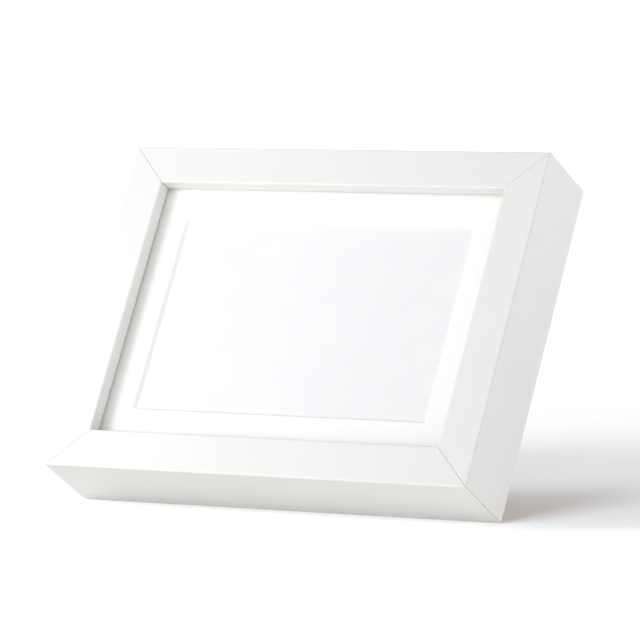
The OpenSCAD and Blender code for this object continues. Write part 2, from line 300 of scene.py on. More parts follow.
def baked(bench):
    """The bench's mesh with its modifiers run, as a plain mesh. The bench is cleared away."""
    graph = bpy.context.evaluated_depsgraph_get()
    result = bpy.data.meshes.new_from_object(bench.evaluated_get(graph))
    bpy.data.objects.remove(bench)
    return result


def worked(mesh, *steps):
    """The mesh after modifiers, each given as its kind and settings, as a new plain mesh."""
    bench = linked("bench", mesh)
    for kind, settings in steps:
        modifier = bench.modifiers.new(kind, kind)
        for key, value in settings.items():
            setattr(modifier, key, value)
    return baked(bench)


def eased(mesh, width, segments=2, angle=30):
    """The mesh with its sharp edges rounded by so many millimetres, and its flat faces kept flat."""
    mesh.shade_smooth()
    return worked(mesh, ("BEVEL", {
        "width": width, "segments": segments, "limit_method": "ANGLE",
        "angle_limit": math.radians(angle), "harden_normals": True}))


def cut(mesh, tool, operation="DIFFERENCE"):
    """Cuts a tool's shape out of a mesh, or with UNION joins it on, and clears the slivers away."""
    other = linked("tool", tool)
    result = worked(mesh, ("BOOLEAN", {
        "object": other, "operation": operation, "solver": "EXACT"}))
    bpy.data.objects.remove(other)
    bm = bmesh.new()
    bm.from_mesh(result)
    bmesh.ops.dissolve_limit(bm, angle_limit=CLEAN_ANGLE, verts=bm.verts, edges=bm.edges)
    bmesh.ops.dissolve_degenerate(bm, edges=bm.edges, dist=CLEAN_GAP)
    bm.to_mesh(result)
    bm.free()
    return result


def joined(*meshes):
    """Several meshes as one."""
    bm = bmesh.new()
    for mesh in meshes:
        bm.from_mesh(mesh)
    mesh = bpy.data.meshes.new("joined")
    bm.to_mesh(mesh)
    bm.free()
    return mesh


def grown(tree, values):
    """Runs a geometry tree once, inputs named by label, and gives a plain mesh, empty slots dropped."""
    bench = linked("bench", bpy.data.meshes.new("bench"))
    modifier = bench.modifiers.new("grow", "NODES")
    modifier.node_group = tree
    for item in tree.interface.items_tree:
        if item.in_out == "INPUT" and item.name in values:
            modifier[item.identifier] = values[item.name]
    result = baked(bench)
    while None in result.materials[:]:
        result.materials.pop(index=result.materials[:].index(None))
    return result


# %% [markdown]
# ## Putting a piece in its place
# A finished mesh is carried from its bench to where the design has it. Its object stays at the origin
# and unturned, as the designed parts do. It is tied to the body it moves with, gets the materials it
# is given, and takes the place of the designed parts that it stands for.

# %% Place a piece
def place(name, mesh, where, body, slot, nodes, *materials):
    """Carries a mesh from its bench to its place, as a piece that stands for designed parts."""
    mesh.transform(where)
    mesh.name = name
    for material in materials:
        mesh.materials.append(material)
    piece = linked(name, mesh)
    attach(piece, body)
    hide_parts(*nodes)
    finishes = ", ".join(material.name for material in mesh.materials)
    print(f"{name}: {len(mesh.polygons)} faces, rides on {body}, {finishes}")
    return piece


# %% [markdown]
# ## Finish: satin white foil
# The moulding is fibreboard with a white lacquered paper foil pressed round it. The foil hides all
# grain, so what is left to see is a soft sheen, a very slight ripple where the glue line telegraphs
# through, and a white that isn't quite even.

# %% Satin white foil
def satin_foil():
    material, tree, shader, spot = finish("lacquered_foil_satin_white", {
        "IOR": 1.5, "Coat Weight": 0.12, "Coat Roughness": 0.25})
    cloudy = add(tree, "ShaderNodeTexNoise", {"Vector": spot, "Scale": per(45), "Detail": 3.0})
    ripple = add(tree, "ShaderNodeTexNoise", {"Vector": spot, "Scale": per(2.2), "Detail": 2.0})
    tone = add(tree, "ShaderNodeMix", {
        0: cloudy.outputs[0], 6: srgb("#e1e1e0"), 7: srgb("#e6e6e6")}, data_type="RGBA")
    sheen = add(tree, "ShaderNodeMapRange", {
        "Value": ripple.outputs[0], "To Min": 0.40, "To Max": 0.50})
    wear_in(tree, shader, tone.outputs[2], sheen.outputs[0], ripple.outputs[0], 0.006 * MM)
    return material


# %% [markdown]
# ## Finish: bare fibreboard
# The back of the moulding, the back board and the leg are medium-density fibreboard: fine wood
# fibres pressed with resin and sanded. Close up it is a felt of pale and dark flecks about a
# millimetre long, matt, with no grain direction. Two noises give the felt, and a third picks out
# the few dark fibres.

# %% Bare fibreboard
def bare_fibreboard(name, pale, deep):
    material, tree, shader, spot = finish(name, {"IOR": 1.5})
    felt = add(tree, "ShaderNodeTexNoise", {
        "Vector": spot, "Scale": per(1.1), "Detail": 6.0, "Roughness": 0.7})
    patches = add(tree, "ShaderNodeTexNoise", {"Vector": spot, "Scale": per(14), "Detail": 2.0})
    flecks = add(tree, "ShaderNodeTexVoronoi", {"Vector": spot, "Scale": per(1.6)})
    fibre = add(tree, "ShaderNodeMapRange", {
        "Value": flecks.outputs["Distance"], "From Min": 0.05, "From Max": 0.22,
        "To Min": 0.55, "To Max": 0.0})
    blend = add(tree, "ShaderNodeMath", {0: felt.outputs[0], 1: patches.outputs[0]}, operation="ADD")
    share = add(tree, "ShaderNodeMapRange", {
        "Value": blend.outputs[0], "From Min": 0.6, "From Max": 1.4})
    board = add(tree, "ShaderNodeMix", {
        0: share.outputs[0], 6: srgb(pale), 7: srgb(deep)}, data_type="RGBA")
    marked = add(tree, "ShaderNodeMix", {
        0: fibre.outputs[0], 6: board.outputs[2], 7: srgb("#6f5138")}, data_type="RGBA")
    rough = add(tree, "ShaderNodeMapRange", {
        "Value": felt.outputs[0], "To Min": 0.72, "To Max": 0.95})
    wear_in(tree, shader, marked.outputs[2], rough.outputs[0], felt.outputs[0], 0.03 * MM)
    return material


# %% [markdown]
# ## Finish: mat board, its cut core, and the card
# Mat board is a paper face on a white core. The face has a faint felt from the paper machine. The
# window is cut with a blade held at 45 degrees, which shows the core: a little whiter, with fine
# marks where the blade dragged. The card behind is smooth coated paper, cooler in colour, and its
# coating is slightly mottled.

# %% Paper finishes
def mat_paper():
    material, tree, shader, spot = finish("mat_board_paper_face", {"IOR": 1.45})
    felt = add(tree, "ShaderNodeTexNoise", {
        "Vector": spot, "Scale": per(0.8), "Detail": 4.0, "Roughness": 0.6})
    tone = add(tree, "ShaderNodeMix", {
        0: felt.outputs[0], 6: srgb("#f8f8f7"), 7: srgb("#fcfcfb")}, data_type="RGBA")
    rough = add(tree, "ShaderNodeMapRange", {
        "Value": felt.outputs[0], "To Min": 0.8, "To Max": 0.95})
    wear_in(tree, shader, tone.outputs[2], rough.outputs[0], felt.outputs[0], 0.02 * MM)
    return material


def mat_core():
    material, tree, shader, spot = finish("mat_board_cut_core", {"IOR": 1.45, "Roughness": 0.9})
    drag = add(tree, "ShaderNodeTexNoise", {
        "Vector": spot, "Scale": per(0.35), "Detail": 3.0, "Roughness": 0.7})
    tone = add(tree, "ShaderNodeMix", {
        0: drag.outputs[0], 6: srgb("#fcfcf9"), 7: srgb("#fefefc")}, data_type="RGBA")
    wear_in(tree, shader, tone.outputs[2], None, drag.outputs[0], 0.03 * MM)
    return material


def coated_card():
    material, tree, shader, spot = finish("coated_card_cool_white", {"IOR": 1.5})
    mottle = add(tree, "ShaderNodeTexNoise", {
        "Vector": spot, "Scale": per(11), "Detail": 5.0, "Roughness": 0.6})
    grain = add(tree, "ShaderNodeTexNoise", {"Vector": spot, "Scale": per(0.6), "Detail": 2.0})
    tone = add(tree, "ShaderNodeMix", {
        0: mottle.outputs[0], 6: srgb("#eeedf2"), 7: srgb("#f5f5f8")}, data_type="RGBA")
    rough = add(tree, "ShaderNodeMapRange", {
        "Value": mottle.outputs[0], "To Min": 0.5, "To Max": 0.65})
    wear_in(tree, shader, tone.outputs[2], rough.outputs[0], grain.outputs[0], 0.008 * MM)
    return material


# %% [markdown]
# ## Finish: clear glazing
# Two millimetres of clear sheet, polished, with the faint haze that wiping leaves. Light that comes
# from a lamp, or that the mat scatters back, passes straight through a mixed-in transparent shader,
# so the mat behind is lit as brightly as it is in life. What the eye looks at is the real glass.

# %% Clear glazing
def clear_glazing():
    material, tree, shader, spot = finish("float_glass_polished", {
        "Base Color": srgb("#fefefe"), "Transmission Weight": 1.0, "IOR": 1.52})
    wiped = add(tree, "ShaderNodeTexNoise", {"Vector": spot, "Scale": per(30), "Detail": 3.0})
    haze = add(tree, "ShaderNodeMapRange", {
        "Value": wiped.outputs[0], "To Min": 0.0, "To Max": 0.025})
    tree.links.new(haze.outputs[0], shader.inputs["Roughness"])
    ray = add(tree, "ShaderNodeLightPath")
    through = add(tree, "ShaderNodeMath", {
        0: ray.outputs["Is Shadow Ray"], 1: ray.outputs["Is Diffuse Ray"]}, operation="MAXIMUM")
    open_air = add(tree, "ShaderNodeBsdfTransparent", {"Color": srgb("#fdfdfd")})
    either = add(tree, "ShaderNodeMixShader", {
        0: through.outputs[0], 1: shader.outputs[0], 2: open_air.outputs[0]})
    tree.links.new(either.outputs[0], tree.nodes["Material Output"].inputs["Surface"])
    return material


# %% [markdown]
# ## Finish: painted spacer strips and linen liner
# The strips that hold the box open are sawn fibreboard with one coat of white emulsion, which a
# roller leaves stippled. The liner is linen over a thin pad. Its plain weave is two sets of bands at
# right angles. The bands lie in the board's own plane, so the coordinates are first turned upright.

# %% Painted strips and linen
def roller_paint():
    material, tree, shader, spot = finish("emulsion_rolled_white", {"IOR": 1.5})
    stipple = add(tree, "ShaderNodeTexNoise", {
        "Vector": spot, "Scale": per(1.4), "Detail": 3.0, "Roughness": 0.6})
    tone = add(tree, "ShaderNodeMix", {
        0: stipple.outputs[0], 6: srgb("#e6e5df"), 7: srgb("#f0efea")}, data_type="RGBA")
    rough = add(tree, "ShaderNodeMapRange", {
        "Value": stipple.outputs[0], "To Min": 0.65, "To Max": 0.85})
    wear_in(tree, shader, tone.outputs[2], rough.outputs[0], stipple.outputs[0], 0.05 * MM)
    return material


def plain_linen():
    thread_mm = 0.7
    material, tree, shader, spot = finish("linen_plain_weave_natural", {
        "Roughness": 0.9, "Sheen Weight": 0.3, "Sheen Roughness": 0.5})
    flat = add(tree, "ShaderNodeMapping", {"Vector": spot, "Rotation": (LEAN, 0.0, 0.0)})
    warp = add(tree, "ShaderNodeTexWave", {
        "Vector": flat.outputs[0], "Scale": per(thread_mm) / 20, "Distortion": 0.6,
        "Detail Scale": 4.0}, bands_direction="X")
    weft = add(tree, "ShaderNodeTexWave", {
        "Vector": flat.outputs[0], "Scale": per(thread_mm) / 20, "Distortion": 0.6,
        "Detail Scale": 4.0}, bands_direction="Z")
    height = add(tree, "ShaderNodeMath", {
        0: warp.outputs[1], 1: weft.outputs[1]}, operation="MULTIPLY")
    slub = add(tree, "ShaderNodeTexNoise", {"Vector": flat.outputs[0], "Scale": per(5)})
    share = add(tree, "ShaderNodeMath", {
        0: height.outputs[0], 1: slub.outputs[0]}, operation="ADD")
    tone = add(tree, "ShaderNodeMix", {
        0: share.outputs[0], 6: srgb("#b9b0a0"), 7: srgb("#e0dacd")}, data_type="RGBA")
    wear_in(tree, shader, tone.outputs[2], None, height.outputs[0], 0.15 * MM)
    return material


# %% [markdown]
# ## Finish: plated metals
# Every metal part here is steel with a thin plating. Nickel on the hinge and the turn buttons is
# warm grey and fairly bright. Zinc on screws, nails, staples and rivets is bluish, duller, and has a
# faint crystal pattern. Brass plating on the hangers has darkened unevenly. A metal's colour is its
# reflection, so each one is metallic, and its variety is in its roughness and in fine rubbing marks.

# %% Plated metals
def plated(name, bright, dull, smooth, rough, patch_mm, dent_mm):
    material, tree, shader, spot = finish(name, {"Metallic": 1.0})
    patch = add(tree, "ShaderNodeTexNoise", {
        "Vector": spot, "Scale": per(patch_mm), "Detail": 4.0, "Roughness": 0.65})
    stretched = add(tree, "ShaderNodeMapping", {"Vector": spot, "Scale": (0.12, 1.0, 1.0)})
    rubbed = add(tree, "ShaderNodeTexNoise", {
        "Vector": stretched.outputs[0], "Scale": per(0.25), "Detail": 3.0})
    tone = add(tree, "ShaderNodeMix", {
        0: patch.outputs[0], 6: srgb(bright), 7: srgb(dull)}, data_type="RGBA")
    both = add(tree, "ShaderNodeMath", {
        0: patch.outputs[0], 1: rubbed.outputs[0]}, operation="ADD")
    gloss = add(tree, "ShaderNodeMapRange", {
        "Value": both.outputs[0], "From Min": 0.7, "From Max": 1.3,
        "To Min": smooth, "To Max": rough})
    wear_in(tree, shader, tone.outputs[2], gloss.outputs[0], rubbed.outputs[0], dent_mm * MM)
    return material


# %% [markdown]
# ## Finish: soft bumper plastic and cotton tape
# The bumpers are milky soft plastic that lets some light in. The stay is woven cotton tape: the
# weave follows the tape, so it reads the tape's own UV map, where U runs across and V along.

# %% Bumper plastic and cotton tape
def bumper_plastic():
    material, tree, shader, spot = finish("soft_vinyl_milky", {
        "IOR": 1.46, "Subsurface Weight": 0.5, "Subsurface Scale": 0.001})
    dust = add(tree, "ShaderNodeTexNoise", {"Vector": spot, "Scale": per(1.5), "Detail": 4.0})
    tone = add(tree, "ShaderNodeMix", {
        0: dust.outputs[0], 6: srgb("#d9d9d2"), 7: srgb("#e6e6e1")}, data_type="RGBA")
    rough = add(tree, "ShaderNodeMapRange", {
        "Value": dust.outputs[0], "To Min": 0.35, "To Max": 0.55})
    wear_in(tree, shader, tone.outputs[2], rough.outputs[0], dust.outputs[0], 0.01 * MM)
    return material


def cotton_tape(threads_across, threads_along):
    material, tree, shader, spot = finish("cotton_tape_woven", {
        "Roughness": 0.88, "Sheen Weight": 0.25, "Sheen Roughness": 0.5})
    way = add(tree, "ShaderNodeTexCoord").outputs["UV"]
    axes = add(tree, "ShaderNodeSeparateXYZ", {"Vector": way})
    ridges = []
    for axis, threads in (("X", threads_across), ("Y", threads_along)):
        angle = add(tree, "ShaderNodeMath", {
            0: axes.outputs[axis], 1: threads * math.pi}, operation="MULTIPLY")
        wave = add(tree, "ShaderNodeMath", {0: angle.outputs[0]}, operation="SINE")
        ridges.append(add(tree, "ShaderNodeMath", {0: wave.outputs[0]}, operation="ABSOLUTE"))
    weave = add(tree, "ShaderNodeMath", {
        0: ridges[0].outputs[0], 1: ridges[1].outputs[0]}, operation="MULTIPLY")
    fluff = add(tree, "ShaderNodeTexNoise", {"Vector": spot, "Scale": per(0.9), "Detail": 3.0})
    share = add(tree, "ShaderNodeMath", {
        0: weave.outputs[0], 1: fluff.outputs[0]}, operation="MULTIPLY")
    tone = add(tree, "ShaderNodeMix", {
        0: share.outputs[0], 6: srgb("#d6d0c2"), 7: srgb("#f7f4eb")}, data_type="RGBA")
    wear_in(tree, shader, tone.outputs[2], None, weave.outputs[0], 0.12 * MM)
    return material


# %% [markdown]
# ## All the finishes
# Each finish is made once and shared by every piece that has it. The back of the moulding is a paler,
# sanded fibreboard than the back board and the leg, which are pressed brown.

# %% Make the finishes once
foil = satin_foil()
moulding_core = bare_fibreboard("fibreboard_sanded_pale", "#c9ab84", "#ad8b62")
board_face = bare_fibreboard("fibreboard_pressed_brown", "#b08a61", "#8f6b47")
paper, core, card_white = mat_paper(), mat_core(), coated_card()
glass, paint, linen = clear_glazing(), roller_paint(), plain_linen()
nickel = plated("nickel_plated_steel", "#d6d1c8", "#b9b4ab", 0.16, 0.34, 3.0, 0.004)
zinc = plated("zinc_plated_steel", "#cdd1d6", "#a9aeb4", 0.28, 0.46, 1.2, 0.006)
brass = plated("brass_plated_steel", "#dcc389", "#b8985a", 0.20, 0.38, 2.5, 0.003)
vinyl = bumper_plastic()
print("finishes", len(bpy.data.materials))

# %% [markdown]
# ## The moulding
# Four lengths of one moulding are mitred and joined at the corners. A rail's shape follows a rule:
# sweep the cross-section along, then shear both ends so that they meet at 45 degrees. That is work
# for Geometry Nodes. The cross-section is drawn once, as a single face with softly rounded front
# edges, and a narrow flat strip beside each round that keeps the wide faces flat. The tree extrudes
# it, turns a copy over to close the near end, and then moves each end in by the rail's height at that
# point, and by the hair's breadth that a glued joint leaves open.

# %% The cross-section and the rail tree
FRONT_EASE = 0.7
JOINT_GAP = 0.07
FLAT_STRIP = 0.08


def moulding_section():
    """The moulding's cross-section as one face: a lip in front, and a wall behind it."""
    r = FRONT_EASE
    corner_out = [(y, z) for y, z in arc((r, r), r, 270, 180, 6)]
    corner_in = [(y, z) for y, z in arc((r, FACE - r), r, 180, 90, 6)]
    points = ([(r + FLAT_STRIP, 0)] + corner_out + [(0, r + FLAT_STRIP), (0, FACE - r - FLAT_STRIP)]
              + corner_in + [(r + FLAT_STRIP, FACE), (LIP, FACE), (LIP, WALL), (DEPTH, WALL), (DEPTH, 0)])
    bm = bmesh.new()
    face = bm.faces.new([bm.verts.new((0, y, z)) for y, z in points])
    face.normal_update()
    if face.normal.x < 0:
        face.normal_flip()
    mesh = bpy.data.meshes.new("section")
    bm.to_mesh(mesh)
    bm.free()
    return mesh


def rail_tree():
    tree, given = new_tree("mitred_rail", "Rail", (
        ("Section", "Object"), ("Length", "Float"), ("Joint Gap", "Float"), ("Foil", "Material"),
        ("Bare Back", "Material")))
    section = add(tree, "GeometryNodeObjectInfo", {"Object": given["Section"]})
    sweep = add(tree, "GeometryNodeExtrudeMesh", {
        "Mesh": section.outputs["Geometry"], "Offset": (1.0, 0.0, 0.0),
        "Offset Scale": given["Length"], "Individual": False}, mode="FACES")
    near_end = add(tree, "GeometryNodeFlipFaces", {"Mesh": section.outputs["Geometry"]})
    parts = add(tree, "GeometryNodeJoinGeometry", {"Geometry": sweep.outputs["Mesh"]})
    tree.links.new(near_end.outputs[0], parts.inputs[0])
    closed = add(tree, "GeometryNodeMergeByDistance", {
        "Geometry": parts.outputs[0], "Distance": 1e-4})
    spot = add(tree, "ShaderNodeSeparateXYZ", {
        "Vector": add(tree, "GeometryNodeInputPosition").outputs[0]})
    half = add(tree, "ShaderNodeMath", {0: given["Length"], 1: 0.5}, operation="MULTIPLY")
    centred = add(tree, "ShaderNodeMath", {
        0: spot.outputs["X"], 1: half.outputs[0]}, operation="SUBTRACT")
    side = add(tree, "ShaderNodeMath", {0: centred.outputs[0]}, operation="SIGN")
    shear = add(tree, "ShaderNodeMath", {
        0: half.outputs[0], 1: spot.outputs["Z"]}, operation="SUBTRACT")
    reach = add(tree, "ShaderNodeMath", {
        0: shear.outputs[0], 1: given["Joint Gap"]}, operation="SUBTRACT")
    along = add(tree, "ShaderNodeMath", {
        0: side.outputs[0], 1: reach.outputs[0]}, operation="MULTIPLY")
    mitred = add(tree, "GeometryNodeSetPosition", {
        "Geometry": closed.outputs[0],
        "Position": add(tree, "ShaderNodeCombineXYZ", {
            "X": along.outputs[0], "Y": spot.outputs["Y"], "Z": spot.outputs["Z"]}).outputs[0]})
    whole = add(tree, "GeometryNodeRealizeInstances", {"Geometry": mitred.outputs[0]})
    wrapped = add(tree, "GeometryNodeSetMaterial", {
        "Geometry": whole.outputs[0], "Material": given["Foil"]})
    facing = add(tree, "ShaderNodeSeparateXYZ", {
        "Vector": add(tree, "GeometryNodeInputNormal").outputs[0]})
    behind = add(tree, "FunctionNodeCompare", {
        0: facing.outputs["Y"], 1: 0.5}, data_type="FLOAT", operation="GREATER_THAN")
    bare = add(tree, "GeometryNodeSetMaterial", {
        "Geometry": wrapped.outputs[0], "Selection": behind.outputs[0],
        "Material": given["Bare Back"]})
    add(tree, "NodeGroupOutput", {"Rail": bare.outputs[0]})
    return tree


# %% [markdown]
# ## Four rails
# The tree is run once for each rail, with that rail's length. The bench is turned by a quarter each
# time, so one section makes the bottom, right, top and left rails. A last fine easing softens the
# edges of the mitres.

# %% Four rails
RAIL_EASE = 0.12


def quarter_turned(k, away):
    """A bench turned k quarters about the middle of the frame, at that distance from it."""
    middle = Matrix.Translation((0, 0, HIGH / 2))
    return middle @ Matrix.Rotation(-math.pi / 2 * k, 4, "Y") @ Matrix.Translation((0, 0, -away))


section = bpy.data.objects.new("section", moulding_section())
rails = rail_tree()
for k, side in enumerate(("bottom", "right", "top", "left")):
    length, away = (WIDE, HIGH / 2) if k % 2 == 0 else (HIGH, WIDE / 2)
    rail = eased(grown(rails, {
        "Section": section, "Length": length, "Joint Gap": JOINT_GAP,
        "Foil": foil, "Bare Back": moulding_core}), RAIL_EASE, angle=40)
    place(side + "_rail_moulding", rail, STAND @ quarter_turned(k, away), "case", "white_foil",
          [side + "_rail"])
bpy.data.objects.remove(section)

# %% [markdown]
# ## Fasteners in a grid
# Screws, rivets, nails, bumpers and the corner nails all sit at the corners of a rectangle or in a
# row. One tree sets them out: a grid of points stood upright, one part on each point. A driven screw
# stops at any angle, so the tree can turn each part at random, from a fixed seed. A corner nail has
# to point at the middle, so the tree can also turn each part by the quarter it stands in.

# %% The fastener tree
def fastener_tree():
    tree, given = new_tree("fastener_grid", "Fasteners", (
        ("Part", "Object"), ("Columns", "Int"), ("Rows", "Int"), ("Across", "Float"),
        ("Up", "Float"), ("Face Middle", "Bool"), ("Loose Turn", "Float"), ("Seed", "Int"),
        ("Finish", "Material")))
    grid = add(tree, "GeometryNodeMeshGrid", {
        "Size X": given["Across"], "Size Y": given["Up"],
        "Vertices X": given["Columns"], "Vertices Y": given["Rows"]})
    upright = add(tree, "GeometryNodeTransform", {
        "Geometry": grid.outputs["Mesh"], "Rotation": (math.pi / 2, 0.0, 0.0)})
    spot = add(tree, "ShaderNodeSeparateXYZ", {
        "Vector": add(tree, "GeometryNodeInputPosition").outputs[0]})
    across = add(tree, "ShaderNodeMath", {0: spot.outputs["X"]}, operation="SIGN")
    up = add(tree, "ShaderNodeMath", {0: spot.outputs["Z"]}, operation="SIGN")
    bearing = add(tree, "ShaderNodeMath", {
        0: up.outputs[0], 1: across.outputs[0]}, operation="ARCTAN2")
    quarter = add(tree, "ShaderNodeMath", {
        0: -0.75 * math.pi, 1: bearing.outputs[0]}, operation="SUBTRACT")
    chance = add(tree, "FunctionNodeRandomValue", {
        2: 0.0, 3: given["Loose Turn"], "Seed": given["Seed"]}, data_type="FLOAT")
    turn = add(tree, "GeometryNodeSwitch", {
        "Switch": given["Face Middle"], "False": chance.outputs[1], "True": quarter.outputs[0]},
        input_type="FLOAT")
    part = add(tree, "GeometryNodeObjectInfo", {"Object": given["Part"]})
    rows = add(tree, "GeometryNodeInstanceOnPoints", {
        "Points": upright.outputs[0], "Instance": part.outputs["Geometry"],
        "Rotation": add(tree, "ShaderNodeCombineXYZ", {"Y": turn.outputs[0]}).outputs[0]})
    whole = add(tree, "GeometryNodeRealizeInstances", {"Geometry": rows.outputs[0]})
    done = add(tree, "GeometryNodeSetMaterial", {
        "Geometry": whole.outputs[0], "Material": given["Finish"]})
    add(tree, "NodeGroupOutput", {"Fasteners": done.outputs[0]})
    return tree


fasteners = fastener_tree()


def set_out(part, columns, rows, across, up, finished, face_middle=False, loose_turn=0.0, seed=7):
    """One part repeated on an upright grid, centred on the origin."""
    sample = bpy.data.objects.new("sample", part)
    mesh = grown(fasteners, {
        "Part": sample, "Columns": columns, "Rows": rows, "Across": across, "Up": up,
        "Face Middle": face_middle, "Loose Turn": loose_turn, "Seed": seed, "Finish": finished})
    bpy.data.objects.remove(sample)
    return mesh


# %% [markdown]
# ## Corner nails
# Each mitre is glued and then held by a V-shaped steel nail, pressed in from the back until it is
# all but flush. Its two legs lie along the two rails.

# %% Corner nails
NAIL_INSET = 3.9
NAIL_LEG = 6.0
NAIL_THICK = 0.6
NAIL_DEEP = 10.0
NAIL_PROUD = 0.05

inner, outer = NAIL_THICK / 2, NAIL_LEG - NAIL_THICK / 2
vee = slab([(-inner, -inner), (outer, -inner), (outer, inner), (inner, inner), (inner, outer),
            (-inner, outer)], DEPTH - NAIL_DEEP, NAIL_DEEP + NAIL_PROUD)
place("corner_v_nails_pressed",
      set_out(eased(vee, 0.08), 2, 2, WIDE - 2 * NAIL_INSET, HIGH - 2 * NAIL_INSET, zinc,
              face_middle=True),
      STAND @ Matrix.Translation((0, 0, HIGH / 2)), "case", "zinc_steel", ["corner_v_nails"])

# %% [markdown]
# ## The sheets behind the lip
# From the front come the glazing, the mat with its window, and the card. The window's edge is the
# one place where the mat's core shows, so the mat is built as a ring and its sloping faces get the
# core's finish. The window's size is given, and the other sizes are read from the designed parts.

# %% Glazing, mat and card
def sheet_of(node, ease, segments=2):
    """A flat sheet as large as a designed part, with eased edges."""
    low, high = drawn(node)
    outline = [(low.x, low.z), (high.x, low.z), (high.x, high.z), (low.x, high.z)]
    return eased(slab(outline, low.y, high.y - low.y), ease, segments)


place("glazing_pane", sheet_of("glazing", 0.15), STAND, "case", "clear_glazing", ["glazing"], glass)

WINDOW_WIDE = 139.5
WINDOW_HIGH = 89.5
mat_low, mat_high = drawn("mat_board")
mat_thick = mat_high.y - mat_low.y


def ring_corners(bm, half_wide, half_high, y):
    """Four new corners of a rectangle in the middle of the frame, at one depth."""
    return [bm.verts.new((sx * half_wide, y, HIGH / 2 + sz * half_high))
            for sx, sz in ((-1, -1), (1, -1), (1, 1), (-1, 1))]


bm = bmesh.new()
mat_half = (mat_high.x, (mat_high.z - mat_low.z) / 2)
outside_front = ring_corners(bm, *mat_half, mat_low.y)
outside_back = ring_corners(bm, *mat_half, mat_high.y)
window_front = ring_corners(bm, WINDOW_WIDE / 2 + mat_thick, WINDOW_HIGH / 2 + mat_thick, mat_low.y)
window_back = ring_corners(bm, WINDOW_WIDE / 2, WINDOW_HIGH / 2, mat_high.y)
for near, far, shows_core in (
        (outside_front, window_front, 0), (window_front, window_back, 1),
        (window_back, outside_back, 0), (outside_back, outside_front, 0)):
    for i in range(4):
        face = bm.faces.new([near[i], near[(i + 1) % 4], far[(i + 1) % 4], far[i]])
        face.material_index = shows_core
place("mat_board_cut", mesh_from(bm), STAND, "case", "mat_board", ["mat_board"], paper, core)
place("picture_card_blank", sheet_of("picture_card", 0.06), STAND, "case", "picture_card",
      ["picture_card"], card_white)

# %% [markdown]
# ## Spacers, liner and back board
# Four painted strips stand on edge between the card and the liner and keep the box open. The liner
# is a thin pad covered in linen, glued to the back board. The back board is drilled for the rivets
# of the hinge.

# %% Spacers, liner and back board
for side in ("top", "bottom", "left", "right"):
    place(side + "_spacer_strip", sheet_of(side + "_spacer", 0.3), STAND, "case", "spacer_board",
          [side + "_spacer"], paint)

liner = place("liner_pad_linen", sheet_of("liner_pad", 0.4, 4), STAND, "case", "liner_cloth",
              ["liner_pad"], linen)

RIVET_SHANK = 1.2
BASE_RIVET_X = 10.0
BASE_RIVET_ROWS = (PIN.z + 6, PIN.z + 14)


def both_sides(x, rows):
    """The places at x and at -x in each row."""
    return [(side * x, z) for side in (-1, 1) for z in rows]


def drilled(mesh, radius, places, front, back):
    """The mesh with a round hole of that radius through it at each (x, z)."""
    drill = spun([(0, front - 1), (radius, front - 1), (radius, back + 1), (0, back + 1)])
    for x, z in places:
        bit = drill.copy()
        bit.transform(Matrix.Translation((x, 0, z)))
        mesh = cut(mesh, bit)
    return mesh


board_low, board_high = drawn("back_board")
board = slab([(board_low.x, board_low.z), (board_high.x, board_low.z),
              (board_high.x, board_high.z), (board_low.x, board_high.z)],
             board_low.y, board_high.y - board_low.y)
board = drilled(board, RIVET_SHANK, both_sides(BASE_RIVET_X, BASE_RIVET_ROWS), board_low.y,
                board_high.y)
place("back_board_sawn", eased(board, 0.2), STAND, "case", "fibreboard", ["back_board"], board_face)

# %% [markdown]
# ## Turn buttons
# Four stamped tongues hold the back board in. Each turns on its own screw, so each is a body of its
# own. Stamping leaves the upper edge softly rolled. One tongue is drawn, and copies of it are stood
# in the four places.

# %% Turn buttons
BUTTON_X = 60.0
BOSS_R = 4.0
TIP_R = 3.0
REACH = 11.0
BUTTON_HOLE_R = 1.46

button_low, button_high = drawn("turn_button_bottom_left")
button_z = button_low.z + BOSS_R
tongue = arc((0, 0), BOSS_R, 180, 360, 24) + arc((0, REACH), TIP_R, 0, 180, 20)
flat_button = drilled(slab(tongue, button_low.y, button_high.y - button_low.y), BUTTON_HOLE_R,
                      [(0, 0)], button_low.y, button_high.y)
flat_button = eased(flat_button, 0.22, 3)
for height, half_turn, row in ((button_z, 0, "bottom"), (HIGH - button_z, math.pi, "top")):
    for x, column in ((-BUTTON_X, "left"), (BUTTON_X, "right")):
        node = "turn_button_" + row + "_" + column
        spin = Matrix.Translation((x, 0, height)) @ Matrix.Rotation(half_turn, 4, "Y")
        place(node + "_stamped", flat_button.copy(), STAND @ spin, node, "nickel_plate", [node],
              nickel)

# %% [markdown]
# ## Screws
# The screws have pan heads with a cross recess. Head and shank are spun in one from their profile,
# and two slots at right angles are cut into the head. The fastener tree sets out all four, each
# stopped at its own angle.

# %% Screws
SCREW_R = 1.4
HEAD_R = 3.0
SLOT_LONG = 3.2
SLOT_WIDE = 0.8
SLOT_DEEP = 0.9

